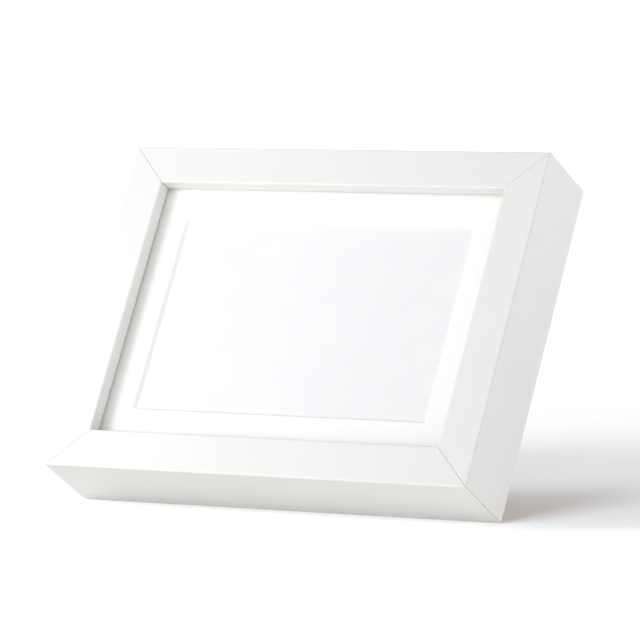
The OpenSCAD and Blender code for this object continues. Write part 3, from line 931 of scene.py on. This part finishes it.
screws_low, screws_high = drawn("turn_button_screws")
head_top = screws_high.y
head_base = button_high.y + 0.1
pan = spun([(0, screws_low.y), (SCREW_R * 0.8, screws_low.y + 2.5), (SCREW_R, screws_low.y + 4),
            (SCREW_R, head_base), (HEAD_R - 0.1, head_base), (HEAD_R, head_base + 0.12),
            (HEAD_R, head_base + 0.7), (HEAD_R - 0.12, head_base + 1.05),
            (HEAD_R - 0.5, head_base + 1.4), (HEAD_R - 1.2, head_base + 1.62), (0, head_top)], 40)
for across, up in ((SLOT_LONG, SLOT_WIDE), (SLOT_WIDE, SLOT_LONG)):
    slot_outline = rounded((-across / 2, -up / 2), (across / 2, up / 2), 0.3)
    pan = cut(pan, slab(slot_outline, head_top - SLOT_DEEP, 2 * SLOT_DEEP))
place("turn_button_screws_pan_head",
      set_out(eased(pan, 0.05, segments=1, angle=40), 2, 2, 2 * BUTTON_X, HIGH - 2 * button_z, zinc,
              loose_turn=math.pi),
      STAND @ Matrix.Translation((0, 0, HIGH / 2)), "case", "zinc_steel", ["turn_button_screws"])

# %% [markdown]
# ## Sawtooth hangers
# A sawtooth hanger is a stamped strip: a nail tab at each end, a raised middle, and a row of teeth
# along one edge that a wall nail can find its place in. The rule is short, so it is a tree: a grid of
# columns, half a tooth apart, whose lower edge rises and falls with a ping-pong wave, and whose middle
# is lifted by a smooth ramp. The sums are written as a table, one row for each Math node, so that
# every value in them has a name. Solidify then gives the strip its thickness.

# %% The sawtooth tree
def sawtooth_tree():
    sizes = ("Length", "Height", "Rise", "Tab", "Pitch", "Toothed", "Tooth Depth")
    tree, given = new_tree("sawtooth_strip", "Strip", [(label, "Float") for label in sizes] + [
        ("Columns", "Int"), ("Finish", "Material")])
    grid = add(tree, "GeometryNodeMeshGrid", {
        "Size X": given["Length"], "Size Y": given["Height"], "Vertices X": given["Columns"],
        "Vertices Y": 5})
    upright = add(tree, "GeometryNodeTransform", {
        "Geometry": grid.outputs["Mesh"], "Rotation": (math.pi / 2, 0.0, 0.0)})
    spot = add(tree, "ShaderNodeSeparateXYZ", {
        "Vector": add(tree, "GeometryNodeInputPosition").outputs[0]})
    known = {label: given[label] for label in sizes}
    known.update({"across": spot.outputs["X"], "up": spot.outputs["Z"]})
    for label, first, operation, second in (
            ("outward", "across", "ABSOLUTE", 0.0),
            ("half pitch", "Pitch", "DIVIDE", 2.0),
            ("shifted", "across", "ADD", "half pitch"),
            ("wave", "shifted", "PINGPONG", "half pitch"),
            ("share", "wave", "DIVIDE", "half pitch"),
            ("toothed half", "Toothed", "DIVIDE", 2.0),
            ("in toothed part", "outward", "LESS_THAN", "toothed half"),
            ("lower line", "Height", "MULTIPLY", -0.49),
            ("on lower edge", "up", "LESS_THAN", "lower line"),
            ("on a tooth", "in toothed part", "MULTIPLY", "on lower edge"),
            ("depth here", "share", "MULTIPLY", "Tooth Depth"),
            ("notch", "depth here", "MULTIPLY", "on a tooth"),
            ("notched up", "up", "ADD", "notch"),
            ("half length", "Length", "DIVIDE", 2.0),
            ("tab start", "half length", "SUBTRACT", "Tab"),
            ("ramp", "Rise", "MULTIPLY", 2.0),
            ("ramp end", "tab start", "SUBTRACT", "ramp")):
        known[label] = add(tree, "ShaderNodeMath", {
            0: known[first], 1: known.get(second, second)}, operation=operation).outputs[0]
    lift = add(tree, "ShaderNodeMapRange", {
        "Value": known["outward"], "From Min": known["tab start"], "From Max": known["ramp end"],
        "To Min": 0.0, "To Max": known["Rise"]}, interpolation_type="SMOOTHSTEP")
    shaped = add(tree, "GeometryNodeSetPosition", {
        "Geometry": upright.outputs[0],
        "Position": add(tree, "ShaderNodeCombineXYZ", {
            "X": known["across"], "Y": lift.outputs[0], "Z": known["notched up"]}).outputs[0]})
    whole = add(tree, "GeometryNodeRealizeInstances", {"Geometry": shaped.outputs[0]})
    done = add(tree, "GeometryNodeSetMaterial", {
        "Geometry": whole.outputs[0], "Material": given["Finish"]})
    add(tree, "NodeGroupOutput", {"Strip": done.outputs[0]})
    return tree


# %% [markdown]
# ## The hangers and their nails
# One strip serves twice: level at the top for a wide hang, and on end at the side for a tall one.
# Solidify grows a sheet along its normals, so they are first made to point out of the back. Each
# hanger is held by two short nails with domed heads.

# %% Hangers and their nails
HANGER_LONG = 44.0
HANGER_TALL = 8.0
HANGER_THICK = 0.8
HANGER_RISE = 1.6
HANGER_TAB = 7.0
TOOTH_PITCH = 2.0
TOOTH_COUNT = 11
TOOTH_DEEP = 1.5
TACK_HEAD_R = 1.6
TACK_SHANK_R = 0.6
TACK_LONG = 7.0
TACK_DOME = 0.5

strip = grown(sawtooth_tree(), {
    "Length": HANGER_LONG, "Height": HANGER_TALL, "Rise": HANGER_RISE, "Tab": HANGER_TAB,
    "Pitch": TOOTH_PITCH, "Toothed": TOOTH_COUNT * TOOTH_PITCH, "Tooth Depth": TOOTH_DEEP,
    "Columns": int(HANGER_LONG / TOOTH_PITCH * 2) + 1, "Finish": brass})
bm = bmesh.new()
bm.from_mesh(strip)
if sum(face.normal.y * face.calc_area() for face in bm.faces) < 0:
    bmesh.ops.reverse_faces(bm, faces=bm.faces)
bm.to_mesh(strip)
bm.free()
strip = worked(strip, ("SOLIDIFY", {"thickness": HANGER_THICK, "offset": 1.0}))
strip = eased(strip, 0.12, angle=40)
top_low, top_high = drawn("top_hanger")
side_low, side_high = drawn("side_hanger")
at_top = Matrix.Translation((0, 0, (top_low.z + top_high.z) / 2))
at_side = Matrix.Translation(((side_low.x + side_high.x) / 2, 0, HIGH / 2))
at_side = at_side @ Matrix.Rotation(math.pi / 2, 4, "Y")
on_back = Matrix.Translation((0, DEPTH, 0))
place("top_hanger_sawtooth", strip.copy(), STAND @ at_top @ on_back, "case", "brass_plate",
      ["top_hanger"])
place("side_hanger_sawtooth", strip.copy(), STAND @ at_side @ on_back, "case", "brass_plate",
      ["side_hanger"])

tack_base = DEPTH + HANGER_THICK
tack = spun([(0, DEPTH - TACK_LONG), (TACK_SHANK_R, DEPTH - TACK_LONG + 1.2),
             (TACK_SHANK_R, tack_base), (TACK_HEAD_R, tack_base), (TACK_HEAD_R, tack_base + 0.12),
             (TACK_HEAD_R * 0.85, tack_base + TACK_DOME * 0.6),
             (TACK_HEAD_R * 0.5, tack_base + TACK_DOME * 0.9), (0, tack_base + TACK_DOME)])
tacks = set_out(eased(tack, 0.04, segments=1, angle=50), 2, 1, HANGER_LONG - HANGER_TAB, 0.0, brass)
side_tacks = tacks.copy()
tacks.transform(at_top)
side_tacks.transform(at_side)
place("hanger_nails_domed", joined(tacks, side_tacks), STAND, "case", "brass_plate",
      ["hanger_nails"], brass)

# %% [markdown]
# ## Wall bumpers
# Two soft domes keep the lower corners of a hung frame off the wall. They are moulded, so they have
# a draught angle and a rounded crown.

# %% Wall bumpers
bumpers_low, bumpers_high = drawn("wall_bumpers")
bumper_r = (bumpers_high.z - bumpers_low.z) / 2
bumper_tall = bumpers_high.y - bumpers_low.y
crown_r = bumper_r * 0.8
dome = spun([(0, DEPTH), (bumper_r, DEPTH), (bumper_r * 0.99, DEPTH + 0.3)]
            + [(crown_r * 0.72 + crown_r * 0.28 * math.cos(a) + 0.1,
                DEPTH + bumper_tall - 1.0 + math.sin(a)) for a in (0.0, 0.4, 0.8, 1.2, 1.5)]
            + [(0, DEPTH + bumper_tall)], 48)
dome.shade_smooth()
place("wall_bumpers_moulded",
      set_out(dome, 2, 1, 2 * (bumpers_high.x - bumper_r), 0.0, vinyl),
      STAND @ Matrix.Translation((0, 0, (bumpers_high.z + bumpers_low.z) / 2)), "case",
      "soft_bumper", ["wall_bumpers"])

# %% [markdown]
# ## The hinge
# Both halves are stamped plate with tongues rolled round the pin. A rolled tongue is one strip bent
# along a path: flat against its board, eased out to the pin's circle, and round it until it nearly
# meets itself. The half on the board has two tongues and the half on the leg has one between them.

# %% Hinge plates
PLATE_THICK = 0.8
ROLL_R = 1.3
MIDDLE_TONGUE = 4.6
SIDE_TONGUE = (4.8, 12.8)
LEG_RIVET_X = 8.0
LEG_RIVET_ROWS = (PIN.z - 6, PIN.z - 12.5)

base_low, base_high = drawn("hinge_base_plate")
base_front = base_low.y
base_mid = base_front + PLATE_THICK / 2
base_edge = PIN.z + 3
base = slab(rounded((base_low.x, base_edge), (base_high.x, base_high.z), 1.6), base_front,
            PLATE_THICK)
base_roll = ([(base_mid, base_edge + 1.5), (base_mid, base_edge - 0.6),
              (base_mid + 0.06, PIN.z + 1.6), (PIN.y - ROLL_R - 0.06, PIN.z + 0.8)]
             + arc((PIN.y, PIN.z), ROLL_R, 180, 472, 28))
for left, right in (SIDE_TONGUE, (-SIDE_TONGUE[1], -SIDE_TONGUE[0])):
    base = cut(base, bent_strip(base_roll, PLATE_THICK, left, right), "UNION")
base = drilled(base, RIVET_SHANK, both_sides(BASE_RIVET_X, BASE_RIVET_ROWS), base_front,
               base_high.y)
place("hinge_base_plate_rolled", eased(base, 0.1, angle=40), STAND, "case", "nickel_plate",
      ["hinge_base_plate"], nickel)

leaf_low, leaf_high = drawn("hinge_leg_plate", LEG)
leg_low, leg_high = drawn("easel_leg", LEG)
leaf_front = leg_low.y - PLATE_THICK
leaf_mid = leaf_front + PLATE_THICK / 2
leaf_edge = PIN.z - 3
leaf = slab(rounded((leaf_low.x, leaf_low.z), (leaf_high.x, leaf_edge), 1.6), leaf_front,
            PLATE_THICK)
leaf_roll = ([(leaf_mid, leaf_edge - 1.5), (leaf_mid, leaf_edge + 0.5),
              (leaf_mid - 0.14, PIN.z - 1.9), (PIN.y - ROLL_R + 0.14, PIN.z - 1.0)]
             + arc((PIN.y, PIN.z), ROLL_R, 180, -84, 26))
leaf = cut(leaf, bent_strip(leaf_roll, PLATE_THICK, -MIDDLE_TONGUE, MIDDLE_TONGUE), "UNION")
leaf = drilled(leaf, RIVET_SHANK, both_sides(LEG_RIVET_X, LEG_RIVET_ROWS), leaf_front,
               leaf_front + PLATE_THICK)
place("hinge_leg_plate_rolled", eased(leaf, 0.1, angle=40), LEG, "easel_leg", "nickel_plate",
      ["hinge_leg_plate"], nickel)

# %% [markdown]
# ## The pin and the rivets
# The pin is a plain rod, with a small head peened on each end. The rivets have domed heads. Those in
# the leg go right through and are flattened on the far side, and those in the back board end flush
# with its inner face, under the liner.

# %% Pin and rivets
PIN_R = 0.84
PIN_HEAD_R = 1.4
PIN_HEAD_LONG = 0.6
RIVET_HEAD_R = 2.2
RIVET_DOME = 0.6
CLINCH = 0.5

pin_reach = drawn("hinge_pin")[1].x
half_pin = [(0, pin_reach), (PIN_HEAD_R * 0.6, pin_reach - 0.1),
            (PIN_HEAD_R, pin_reach - 0.35), (PIN_HEAD_R, pin_reach - PIN_HEAD_LONG),
            (PIN_R, pin_reach - PIN_HEAD_LONG)]
pin = spun(half_pin + [(r, -y) for r, y in half_pin[::-1]], 36)
pin.transform(Matrix.Translation(PIN) @ Matrix.Rotation(math.pi / 2, 4, "Z"))
place("hinge_pin_headed", eased(pin, 0.04, segments=1, angle=50), STAND, "case", "zinc_steel",
      ["hinge_pin"], zinc)


def rivet(front, base, clinched):
    """A rivet from front to the base of its domed head, with a flattened far end if clinched."""
    start = [(0, front), (RIVET_SHANK, front)]
    if clinched:
        start = [(0, front - CLINCH), (RIVET_HEAD_R * 0.9, front - CLINCH),
                 (RIVET_HEAD_R, front - CLINCH * 0.6), (RIVET_HEAD_R, front), (RIVET_SHANK, front)]
    dome = [(RIVET_HEAD_R * math.cos(a), base + 0.1 + (RIVET_DOME - 0.1) * math.sin(a))
            for a in (0.0, 0.35, 0.7, 1.05, 1.35)]
    profile = start + [(RIVET_SHANK, base), (RIVET_HEAD_R, base)] + dome + [(0, base + RIVET_DOME)]
    return eased(spun(profile, 36), 0.04, segments=1, angle=50)


def rivets_at(rows, half_across, front, base, clinched):
    """Four rivets, and the matrix that carries them to the middle of their rows."""
    mesh = set_out(rivet(front, base, clinched), 2, 2, 2 * half_across, abs(rows[1] - rows[0]), zinc,
                   loose_turn=math.pi)
    return mesh, Matrix.Translation((0, 0, sum(rows) / 2))


riveted, middle = rivets_at(BASE_RIVET_ROWS, BASE_RIVET_X, board_low.y, base_front + PLATE_THICK,
                            False)
place("hinge_base_rivets_domed", riveted, STAND @ middle, "case", "zinc_steel",
      ["hinge_base_rivets"])
riveted, middle = rivets_at(LEG_RIVET_ROWS, LEG_RIVET_X, leaf_front, leg_high.y, True)
place("hinge_leg_rivets_domed", riveted, LEG @ middle, "easel_leg", "zinc_steel",
      ["hinge_leg_rivets"])

# %% [markdown]
# ## The easel leg
# The leg is sawn from fibreboard, wider at its foot, with its two upper corners rounded so that they
# clear the board as it swings. Its foot is sawn level with the table: the floor plane is carried
# back to the bench and used as the saw.

# %% Easel leg
LEG_TOP_WIDE = 34.0
CORNER_R = 2.5
OVERCUT = 4.0

slope = (leg_high.x - LEG_TOP_WIDE / 2) / (leg_high.z - leg_low.z)
foot_z = leg_low.z - OVERCUT
foot_x = leg_high.x + slope * OVERCUT
shoulder = LEG_TOP_WIDE / 2 - CORNER_R
leg_outline = ([(-foot_x, foot_z), (foot_x, foot_z), (LEG_TOP_WIDE / 2, leg_high.z - CORNER_R)]
               + arc((shoulder, leg_high.z - CORNER_R), CORNER_R, 0, 90)
               + arc((-shoulder, leg_high.z - CORNER_R), CORNER_R, 90, 180))
leg = slab(leg_outline, leg_low.y, leg_high.y - leg_low.y)
bm = bmesh.new()
bm.from_mesh(leg)
to_bench = LEG.inverted()
floor_spot = to_bench @ Vector((0, 0, 0))
floor_up = (to_bench.to_3x3() @ Vector((0, 0, 1))).normalized()
sawn = bmesh.ops.bisect_plane(
    bm, geom=bm.verts[:] + bm.edges[:] + bm.faces[:], plane_co=floor_spot, plane_no=floor_up,
    clear_inner=True)["geom_cut"]
open_edges = [item for item in sawn if isinstance(item, bmesh.types.BMEdge)]
bmesh.ops.contextual_create(bm, geom=open_edges)
leg = mesh_from(bm)
leg = drilled(leg, RIVET_SHANK, both_sides(LEG_RIVET_X, LEG_RIVET_ROWS), leg_low.y, leg_high.y)
place("easel_leg_sawn", eased(leg, 0.25), LEG, "easel_leg", "fibreboard", ["easel_leg"], board_face)

# %% [markdown]
# ## The stay ribbon
# A cotton tape keeps the leg from opening further. It is stapled flat to the board, runs taut to the
# leg, and is stapled flat again. Its path is a line with two small bends. The tape is a grid along
# that path with a UV map for the weave, and Solidify gives it its thickness. When the leg folds, the
# tape lies down flat between leg and board.

# %% Stay ribbon
TAPE_WIDE = 10.0
TAPE_THICK = 0.4
TAPE_TAB = 9.0
TAPE_LEAVES_BOARD = PIN.z - 70
TAPE_MEETS_LEG = 62.0
TAPE_CLEAR = 0.1
THREAD = 0.55
BEND_R = 1.5


def leg_spot(down, off):
    """A point on the open leg's front face, down from the pin and off the face, on the bench."""
    spot = STAND.inverted() @ LEG @ Vector((0, leg_low.y - off, PIN.z - down))
    return Vector((spot.y, spot.z))


def rounded_path(points, radius, steps=6):
    """A path whose inner corners are rounded off."""
    path = [points[0]]
    for before, corner, after in zip(points, points[1:], points[2:]):
        start = corner + (before - corner).normalized() * radius
        end = corner + (after - corner).normalized() * radius
        for i in range(steps + 1):
            t = i / steps
            path.append(start * (1 - t) ** 2 + corner * 2 * t * (1 - t) + end * t ** 2)
    return path + [points[-1]]


off = TAPE_CLEAR + TAPE_THICK / 2
on_board = board_high.y + off
corner_points = [Vector((on_board, TAPE_LEAVES_BOARD - TAPE_TAB)),
                 Vector((on_board, TAPE_LEAVES_BOARD)), leg_spot(TAPE_MEETS_LEG, off),
                 leg_spot(TAPE_MEETS_LEG + TAPE_TAB, off)]
tape_path = rounded_path(corner_points, BEND_R)
tape_stations = [0.0]
for here, there in zip(tape_path, tape_path[1:]):
    tape_stations.append(tape_stations[-1] + (there - here).length)
tape_long = tape_stations[-1]
print(f"tape {TAPE_WIDE} x {tape_long:.1f} mm")

bm = bmesh.new()
weave_map = bm.loops.layers.uv.new("weave")
ACROSS = 10
tape_rows = []
for spot in tape_path:
    tape_rows.append([bm.verts.new((TAPE_WIDE * (i / ACROSS - 0.5), spot.x, spot.y))
                      for i in range(ACROSS + 1)])
for j, (near, far) in enumerate(zip(tape_rows, tape_rows[1:])):
    for i in range(ACROSS):
        face = bm.faces.new([near[i], near[i + 1], far[i + 1], far[i]])
        for loop, (u, v) in zip(face.loops, ((i, j), (i + 1, j), (i + 1, j + 1), (i, j + 1))):
            loop[weave_map].uv = (u / ACROSS, tape_stations[v] / tape_long)
tape_mesh = bpy.data.meshes.new("tape")
bm.to_mesh(tape_mesh)
bm.free()
tape_mesh = worked(tape_mesh, ("SOLIDIFY", {"thickness": TAPE_THICK, "offset": 0.0}))
tape_mesh.shade_smooth()
tape_mesh = eased(tape_mesh, 0.08, angle=50)
tape = cotton_tape(round(TAPE_WIDE / THREAD), round(tape_long / THREAD))
ribbon = place("stay_ribbon_woven", tape_mesh, STAND, "case", "stay_ribbon", ["stay_ribbon"], tape)

# %% [markdown]
# ## Staples
# Each end of the tape is held by one wire staple: a flat crown with two legs that go down through
# the tape into the fibreboard.

# %% Staples
STAPLE_LEG = 2.4
WIRE = 0.5

crown_low, crown_high = drawn("board_staple")
half_crown = crown_high.x
outside = [(-half_crown, -STAPLE_LEG)] + arc((-half_crown + WIRE, 0), WIRE, 180, 90, 5)
outside += arc((half_crown - WIRE, 0), WIRE, 90, 0, 5) + [(half_crown, -STAPLE_LEG)]
inside = [(half_crown - WIRE, -STAPLE_LEG), (half_crown - WIRE, 0), (-half_crown + WIRE, 0),
          (-half_crown + WIRE, -STAPLE_LEG)]
wire = eased(slab(outside + inside, -WIRE / 2, WIRE), 0.12, angle=60)
wire.transform(Matrix.Rotation(-math.pi / 2, 4, "X"))
on_board_tab = Matrix.Translation((0, crown_high.y - WIRE, (crown_low.z + crown_high.z) / 2))
place("board_staple_wire", wire.copy(), STAND @ on_board_tab, "case", "zinc_steel",
      ["board_staple"], zinc)
pinned_low, pinned_high = drawn("leg_staple", LEG)
on_leg_tab = Matrix.Translation((0, pinned_low.y + WIRE, (pinned_low.z + pinned_high.z) / 2))
place("leg_staple_wire", wire.copy(), LEG @ on_leg_tab @ Matrix.Rotation(math.pi, 4, "Z"),
      "easel_leg", "zinc_steel", ["leg_staple"], zinc)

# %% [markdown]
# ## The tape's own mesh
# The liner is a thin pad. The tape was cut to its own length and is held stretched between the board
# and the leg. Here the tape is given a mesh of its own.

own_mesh(ribbon)

# %% [markdown]
# ## The floor
# The frame stands on a white paper sweep, exposed to burn out to pure white. The light it throws back
# on the frame is a shade greyer and warmer than what the eye sees of it. The trace of blue that the
# eye sees comes from the brightener in such paper.

# %% Floor
FLOOR_WIDE = 8.0

edge = FLOOR_WIDE / 2
floor_mesh = bpy.data.meshes.new("floor")
floor_mesh.from_pydata([(-edge, -edge, 0), (edge, -edge, 0), (edge, edge, 0), (-edge, edge, 0)], [],
                       [(0, 1, 2, 3)])
floor = linked("floor", floor_mesh)
paper_sweep, tree, shader, _ = finish("white_paper_sweep", {
    "Roughness": 0.95, "Specular IOR Level": 0.1})
seen = add(tree, "ShaderNodeLightPath")
sheet_tone = add(tree, "ShaderNodeMix", {
    0: seen.outputs["Is Camera Ray"], 6: srgb("#f0efec"), 7: srgb("#fafcfe")}, data_type="RGBA")
wear_in(tree, shader, sheet_tone.outputs[2])
floor_mesh.materials.append(paper_sweep)
floor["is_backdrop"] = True
print("floor", FLOOR_WIDE, "m wide")

# %% [markdown]
# ## Three lamps
# Two broad low lamps lay the shadow on the floor. The one in front throws it far back, and the one to
# the left throws it out to the right. Both are flagged off the frame, which they would burn out. A
# small soft lamp stands close in front and to the left. It is flagged off the floor, and makes the
# face brighter on that side than on the other.

# %% Lamps
FRONT_TOWARDS = Vector((-0.05, -0.94, 0.34)).normalized()
FRONT_SOFT = math.radians(28)
FRONT_STRENGTH = 2.2
LEFT_TOWARDS = Vector((-0.82, -0.42, 0.37)).normalized()
LEFT_SOFT = math.radians(30)
LEFT_STRENGTH = 1.7
SOFTBOX_SPOT = AIM + Vector((-0.36, -0.42, 0.18))
SOFTBOX_WIDE = 0.26
SOFTBOX_POWER = 1.4


def lamp_at(name, kind, towards, spot, energy, **settings):
    """A lamp whose back is to the direction it shines from."""
    lamp = linked(name, bpy.data.lights.new(name, kind))
    lamp.data.energy = energy
    for key, value in settings.items():
        setattr(lamp.data, key, value)
    lamp.location = spot
    lamp.rotation_mode = "QUATERNION"
    lamp.rotation_quaternion = towards.to_track_quat("Z", "Y")
    lamp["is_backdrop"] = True
    print(name, energy, [round(v, 2) for v in towards])
    return lamp


front_lamp = lamp_at("low_front_lamp", "SUN", FRONT_TOWARDS, AIM + FRONT_TOWARDS, FRONT_STRENGTH,
                     angle=FRONT_SOFT)
left_lamp = lamp_at("low_left_lamp", "SUN", LEFT_TOWARDS, AIM + LEFT_TOWARDS, LEFT_STRENGTH,
                    angle=LEFT_SOFT)
softbox = lamp_at("left_softbox", "AREA", (SOFTBOX_SPOT - AIM).normalized(), SOFTBOX_SPOT,
                  SOFTBOX_POWER, shape="DISK", size=SOFTBOX_WIDE)
only_floor = bpy.data.collections.new("only_floor")
only_floor.objects.link(floor)
front_lamp.light_linking.receiver_collection = only_floor
left_lamp.light_linking.receiver_collection = only_floor
not_floor = bpy.data.collections.new("not_floor")
not_floor.objects.link(floor)
not_floor.collection_objects[0].light_linking.link_state = "EXCLUDE"
softbox.light_linking.receiver_collection = not_floor

# %% [markdown]
# ## The tent
# The rest of the light comes from a tent of white cloth whose walls are brighter than its roof. Light
# from low walls fills the sides and the underside of the frame but hardly reaches the floor, so the
# floor can keep its shadow. Going up, what is left of the walls' extra light is one minus the height,
# squared: it fades quickly at first and slowly near the roof.

# %% Tent
ROOF_LIGHT = 0.33
WALL_LIGHT = 2.0

room = bpy.data.worlds.new("tent")
room.use_nodes = True
tent = room.node_tree
height = add(tent, "ShaderNodeSeparateXYZ", {
    "Vector": add(tent, "ShaderNodeTexCoord").outputs["Generated"]})
roof = add(tent, "ShaderNodeClamp", {"Value": height.outputs["Z"]})
wall = add(tent, "ShaderNodeMath", {0: 1.0, 1: roof.outputs[0]}, operation="SUBTRACT")
steep = add(tent, "ShaderNodeMath", {0: wall.outputs[0], 1: 2.0}, operation="POWER")
glow = add(tent, "ShaderNodeMapRange", {
    "Value": steep.outputs[0], "To Min": ROOF_LIGHT, "To Max": WALL_LIGHT})
tent.links.new(glow.outputs[0], tent.nodes["Background"].inputs["Strength"])
tent.nodes["Background"].inputs["Color"].default_value = (1.0, 1.0, 1.0, 1.0)
bpy.context.scene.world = room
bpy.context.scene.view_settings.view_transform = "Standard"
print("tent walls", WALL_LIGHT, "roof", ROOF_LIGHT)

# %% Write the sizes and finish
made_low, made_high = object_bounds()
for label, low, high in (("design", design_low, design_high), ("made", made_low, made_high)):
    print(label, [round(1000 * (b - a), 1) for a, b in zip(low, high)])
